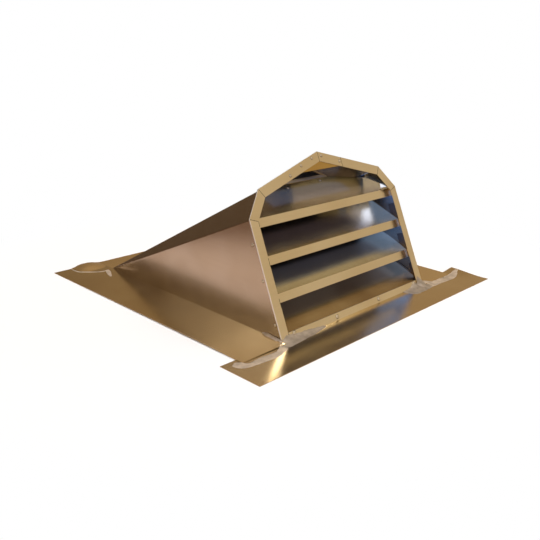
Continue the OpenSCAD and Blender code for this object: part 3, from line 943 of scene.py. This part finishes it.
class VENT_OT_rivets(bpy.types.Operator):
    """Sets the hollow-centred rivets of the walls, the face strips, the sill and the top blade"""
    bl_idname = "vent.rivets"
    bl_label = "Rivets"

    # half a head's section with the dark ring round it, grime and painted shadow, in head
    # diameters
    PROFILE = ((0, -0.06), (0.6, -0.06), (0.6, 0.01), (0.51, 0.02), (0.5, 0.05), (0.43, 0.15),
               (0.33, 0.2), (0.24, 0.19), (0.19, 0.07), (0, 0.05))
    # millimetres: behind the face and up it, then across and up it, then across and back
    WALL = ((13.2, 185.7), (11.5, 117), (10, 34.2))
    RAFTERS = ((-21, 323), (-56, 311.6), (-93, 295.6), (9, 325), (60, 308))
    SILL = ((-193, 9.7), (-71.6, 6.4), (64.3, 7.2), (194.7, 8.6))
    TOP_BLADE = ((-49, -125), (56, -120))

    def execute(self, context):
        sizes = context.scene.vent_sizes
        front = face_front()
        for side, sign in (("left", -1), ("right", 1)):
            wall = surface(f"{side}_hood_sheet")
            spots = [wall.ray_cast(on_face(sign * 300, up, depth), Vector((-sign, 0, 0)))[:2]
                     for depth, up in self.WALL]
            self.row(f"{side}_wall_rivets", spots, sizes.rivet)
        for name, places, head in (("rafter_rivets", self.RAFTERS, sizes.rivet),
                                   ("sill_rivets", self.SILL, sizes.sill_rivet)):
            self.row(name, [(on_face(x, up), front) for x, up in places], head)
        blade = surface("louvre_1_sheet")
        spots = [blade.ray_cast(Vector((x * MM, y * MM, 0.262)), Vector((0, 0, -1)))[:2]
                 for x, y in self.TOP_BLADE]
        self.row("blade_rivets", spots, sizes.rivet, "blade_sheet")
        return {"FINISHED"}

    def row(self, name, spots, head, slot="face_strip"):
        """Sets a rivet at each place and normal, all as one piece."""
        bm = bmesh.new()
        for place, normal in spots:
            self.rivet(bm, place, normal, head)
        add_piece(name, bm, ["tinned_rivet", "settled_grime"], sharp=60)

    def rivet(self, bm, place, normal, head):
        """Adds one rivet, spun from half its section."""
        old = set(bm.verts)
        line = [bm.verts.new((x * head, 0, z * head)) for x, z in self.PROFILE]
        edges = [bm.edges.new(pair) for pair in zip(line, line[1:])]
        bmesh.ops.spin(bm, geom=line + edges, cent=(0, 0, 0), axis=(0, 0, 1), dvec=(0, 0, 0),
                       angle=2 * math.pi, steps=20, use_merge=True, use_duplicate=False)
        fresh = [v for v in bm.verts if v not in old]
        bmesh.ops.remove_doubles(bm, verts=fresh, dist=0.001 * MM)
        fresh = [v for v in bm.verts if v not in old]
        faces = list({f for v in fresh for f in v.link_faces})
        bmesh.ops.recalc_face_normals(bm, faces=faces)
        for f in faces:
            # the ring round the head gets the dark finish: grime and a painted shadow
            f.material_index = int(f.calc_center_median().xy.length > 0.5 * head)
        turn = normal.to_track_quat("Z", "Y").to_matrix().to_4x4()
        turn.translation = place
        bmesh.ops.transform(bm, matrix=turn, verts=fresh)


class VENT_OT_solder(bpy.types.Operator):
    """Wipes solder along the laps, the sill's ends, the walls' feet and the ridge"""
    bl_idname = "vent.solder"
    bl_label = "Solder seams"

    # each station across a seam is a low and a high place on the flashing, in millimetres
    LEFT_LAP = ((-356, -289, -341, -283), (-349, -307, -333, -290), (-333, -315, -325, -302),
                (-306, -318, -300, -300), (-286, -320, -281, -302), (-268, -321, -263, -303),
                (-250, -315, -246, -295), (-234, -311, -229, -284))
    RIGHT_LAP = ((226, -316, 229, -282), (243, -315, 242, -278), (262, -314, 255, -293),
                 (290, -316, 288, -294), (316, -317, 311, -294), (340, -310, 334, -293),
                 (358, -300, 352, -291), (368, -298, 364, -290))
    REAR_SEAM = ((-292, 373, -288, 373), (-290, 338, -285, 339), (-272, 315, -268, 319),
                 (-250, 297, -247, 302), (-232, 297, -230, 302))
    REAR_BLOB = ((-237, 304, -228, 302), (-244, 287, -233, 284), (-250, 270, -241, 268),
                 (-254, 254, -249, 252))
    # each station along the sill: across, how far out the solder runs, how far up the face
    LEFT_SILL = ((-240, 20, 2), (-226, 21, 5), (-211, 20, 11), (-194, 18, 8), (-164, 15, 6),
                 (-138, 11, 3), (-113, 7, 1))
    RIGHT_SILL = ((150, 14, 1), (163, 29, 1.5), (180, 31, 4), (197, 30, 13), (206, 29, 6),
                  (213, 29, 20), (222, 28, 15), (236, 27, 2))
    # and along a wall's foot: behind its toe, out over the flange, up the wall
    WALL_FOOT = ((0, 9, 7), (12, 8, 6), (26, 6, 7), (40, 4, 8), (52, 2, 5))

    def execute(self, context):
        sizes = context.scene.vent_sizes
        flashing = surface("apron_sheet", "left_flange_sheet", "right_flange_sheet", "rear_plate")
        for name, line in (("left_lap_solder", self.LEFT_LAP),
                           ("right_lap_solder", self.RIGHT_LAP),
                           ("left_rear_seam_solder", self.REAR_SEAM),
                           ("left_rear_corner_solder", self.REAR_BLOB)):
            ends = [(Vector((*p[:2], 0)) * MM, Vector((*p[2:], 0)) * MM) for p in line]
            stations = [(low, (low + high) / 2, high) for low, high in ends]
            self.seam(name, stations, SKY, SKY, sizes, flashing)
        for name, line in (("left_sill_solder", self.LEFT_SILL),
                           ("right_sill_solder", self.RIGHT_SILL)):
            stations = []
            for x, out, up in line:
                foot = on_face(x, 0, -0.3)
                y = foot.y - out * MM
                low = Vector((foot.x, y, drop(flashing, foot.x, y)))
                stations.append((low, foot, on_face(x, up, -0.3)))
            # the sill's seams take the darker solder
            self.seam(name, stations, SKY, face_front(), sizes, metal="stained_solder")
        for side, sign in (("left", -1), ("right", 1)):
            toe = corner(f"{side}_wall", 0.2 * sign, -1, -0.2)
            stations = []
            for back, out, up in self.WALL_FOOT:
                foot = toe + Vector((sign * sizes.flare, back * MM, 0))
                stations.append([foot + Vector((sign * aside * MM, 0, rise * MM))
                                 for aside, rise in ((out, 1.2), (0.3, 1), (0.1, up))])
            self.seam(f"{side}_wall_foot_solder", stations, SKY, sign * RIGHT, sizes)
        top, rear = corner("left_roof_slope", 0, 0.2, 1), corner("left_roof_slope", 0, 1, 0.2)
        ridge = []
        for i in range(9):
            place = top.lerp(rear, 0.02 + 0.94 * i / 8)
            fall = 1 - i / 8                # the seam lies flatter towards its rear
            ridge.append((place + Vector((-6, 0, 0.2 * fall)) * MM, place,
                          place + Vector((6, 0, -1.6 * fall)) * MM))
        self.seam("ridge_solder", ridge, SKY, SKY, sizes)
        return {"FINISHED"}

    def seam(self, name, stations, low_normal, high_normal, sizes, ground=None,
             metal="wiped_solder"):
        """A thin ragged-edged skin over the stations, thickest along its middle and sunk at its
        rim; where a ground is given, it lies on that."""
        rows, columns = 12 * (len(stations) - 1), 14
        bm = bmesh.new()
        bmesh.ops.create_grid(bm, x_segments=rows, y_segments=columns, size=1)
        shift = Vector((len(name), 2.7, 0.4))
        for v in bm.verts:
            along, across = (v.co.x + 1) / 2, (v.co.y + 1) / 2
            low, mid, high = (self.between(stations, along, k) for k in range(3))
            edge = sum(noise.noise(Vector((along * rows * f, 3 * (across > 0.5), len(name))))
                       for f in (0.22, 0.61))
            across = 0.5 + (across - 0.5) * (1 + 0.24 * edge)
            place = low.lerp(mid, across).lerp(mid.lerp(high, across), across)
            if ground:
                place.z = drop(ground, place.x, place.y)
            dome = (1 - abs(2 * across - 1) ** 5) * min(1, 6 * along, 6 * (1 - along)) ** 0.7
            lumps = (0.8 + 0.5 * noise.noise(place * 90 + shift)
                     + 0.2 * noise.noise(place * 260 + shift))
            normal = low_normal.lerp(high_normal, across).normalized()
            v.co = place + normal * (sizes.solder * max(0, dome) * lumps - 0.12 * MM)
        face_out(bm, low_normal + high_normal)
        bmesh.ops.solidify(bm, geom=bm.faces[:], thickness=0.5 * MM)
        keep_above_ground(bm)
        right_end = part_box("apron")[1].x
        for v in bm.verts:
            v.co.x = min(v.co.x, right_end)
        add_piece(name, bm, [metal], sharp=70)

    def between(self, stations, along, k):
        """A smooth path, a Catmull-Rom spline, through one of the three places of each station."""
        last = len(stations) - 1
        place = along * last
        i = min(int(place), last - 1)
        t = place - i
        p0, p1, p2, p3 = (stations[min(max(j, 0), last)][k] for j in range(i - 1, i + 3))
        return 0.5 * (2 * p1 + (p2 - p0) * t + (2 * p0 - 5 * p1 + 4 * p2 - p3) * t * t
                      + (3 * p1 - p0 - 3 * p2 + p3) * t ** 3)


class VENT_PT_panel(bpy.types.Panel):
    """Lists the vent's operators, sizes and colours"""
    bl_idname = "VENT_PT_panel"
    bl_label = "Dormer vent"
    bl_space_type = "VIEW_3D"
    bl_region_type = "UI"
    bl_category = "Dormer vent"

    def draw(self, context):
        for step in STEPS:
            self.layout.operator(step.bl_idname)
        for group in (context.scene.vent_sizes, context.scene.vent_colours):
            box = self.layout.box()
            for name in group.__annotations__:
                box.prop(group, name)


STEPS = (VENT_OT_stage, VENT_OT_hood, VENT_OT_flanges, VENT_OT_apron, VENT_OT_face, VENT_OT_blades,
         VENT_OT_screen, VENT_OT_rivets, VENT_OT_solder)
CLASSES = (VentSizes, VentColours, *STEPS, VENT_PT_panel)


def register():
    for item in CLASSES:
        bpy.utils.register_class(item)
    bpy.types.Scene.vent_sizes = PointerProperty(type=VentSizes)
    bpy.types.Scene.vent_colours = PointerProperty(type=VentColours)


def unregister():
    del bpy.types.Scene.vent_colours
    del bpy.types.Scene.vent_sizes
    for item in reversed(CLASSES):
        bpy.utils.unregister_class(item)


def main():
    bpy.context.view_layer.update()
    register()
    for step in STEPS:
        group, name = step.bl_idname.split(".")
        getattr(getattr(bpy.ops, group), name)()


if __name__ == "__main__":
    main()
